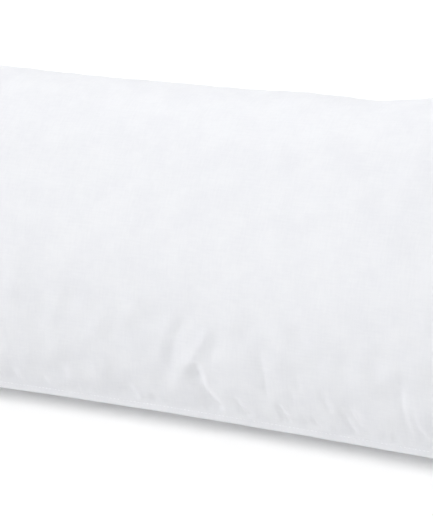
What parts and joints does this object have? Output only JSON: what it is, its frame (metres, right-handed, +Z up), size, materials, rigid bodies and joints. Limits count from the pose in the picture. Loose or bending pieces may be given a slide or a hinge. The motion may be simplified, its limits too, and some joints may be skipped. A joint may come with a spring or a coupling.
{
  "type": "lumbar pillow insert",
  "caption": "Long filled lumbar pillow insert in plain white cotton, with a soft crown, drawn-in sides, gathered folds and a plain sewn edge, lying on its back.",
  "frame": {"origin": "on the surface that the pillow rests on, under the middle of its box", "axes": "+X along the pillow, +Y across it to the long side that is uppermost in use, +Z up out of its front"},
  "size_m": [0.8838, 0.3433, 0.1189],
  "materials": {
    "cotton": "white downproof cotton in a fine plain weave, matt with a faint sheen"
  },
  "bodies": {
    "root": {"pillow_case": "cotton"}
  },
  "joints": []
}
